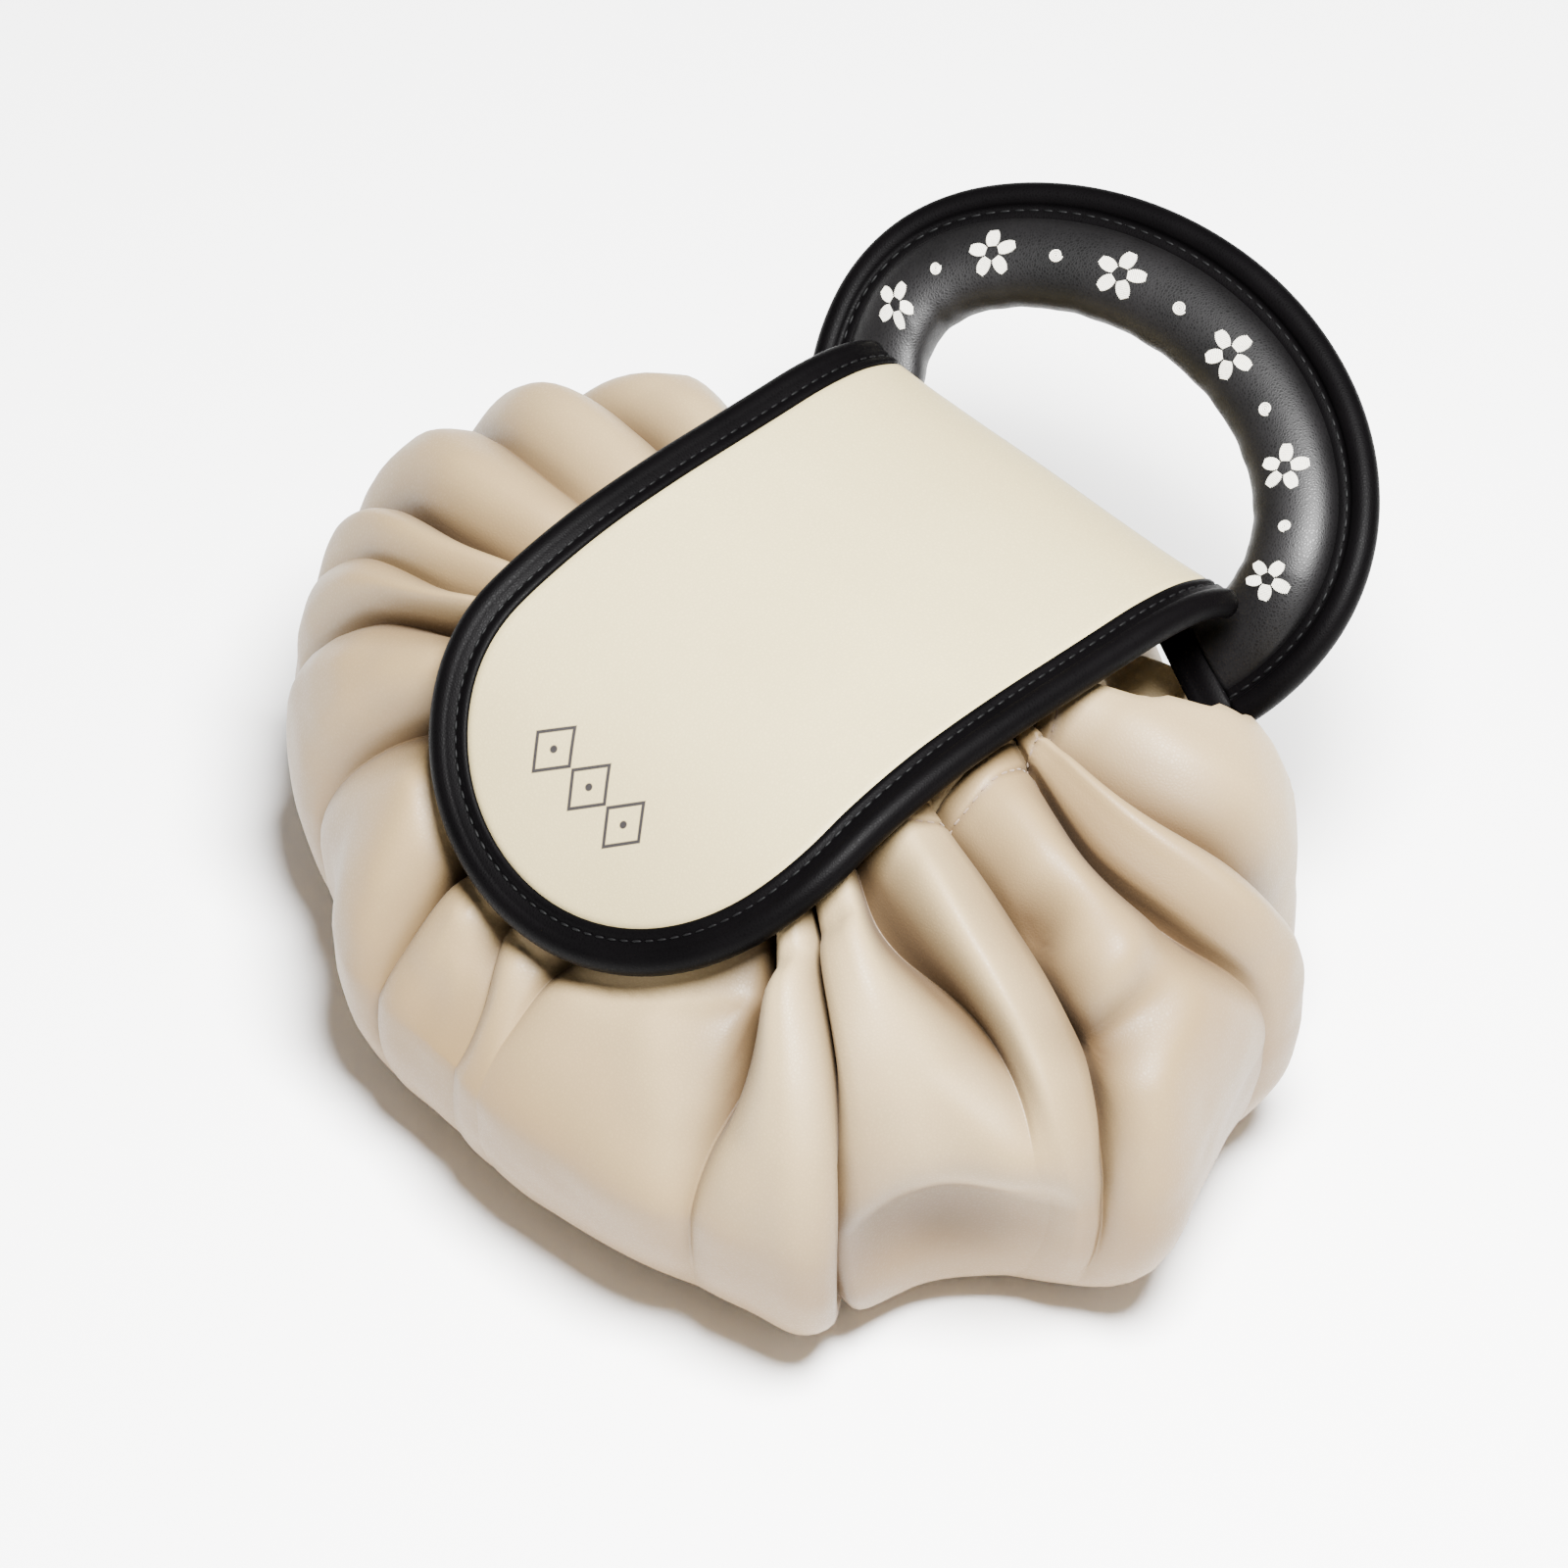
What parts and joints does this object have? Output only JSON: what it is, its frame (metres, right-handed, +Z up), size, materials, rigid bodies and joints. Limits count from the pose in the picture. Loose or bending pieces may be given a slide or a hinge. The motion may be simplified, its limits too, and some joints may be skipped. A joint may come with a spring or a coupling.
{
  "type": "drawstring cosmetic bag",
  "caption": "Round soft pouch gathered by a drawstring, with a bound tongue flap over the mouth and a padded ring handle.",
  "frame": {"origin": "middle of the flat base, on the surface the bag rests on", "axes": "+Z up, +Y from the flap's tip toward the handle, +X to the side where the cord comes out"},
  "size_m": [0.2613, 0.2413, 0.1286],
  "materials": {
    "cream_leather": "smooth matte",
    "black_leather": "smooth satin",
    "cord": "matte twisted cord"
  },
  "bodies": {
    "root": {"pouch_body": "cream_leather", "drawstring_casing": "cream_leather", "drawstring": "cord", "flap_panel": "cream_leather", "flap_binding": "black_leather", "handle_pad": "black_leather", "handle_piping": "black_leather", "handle_tab_left": "black_leather", "handle_tab_right": "black_leather"}
  },
  "joints": []
}
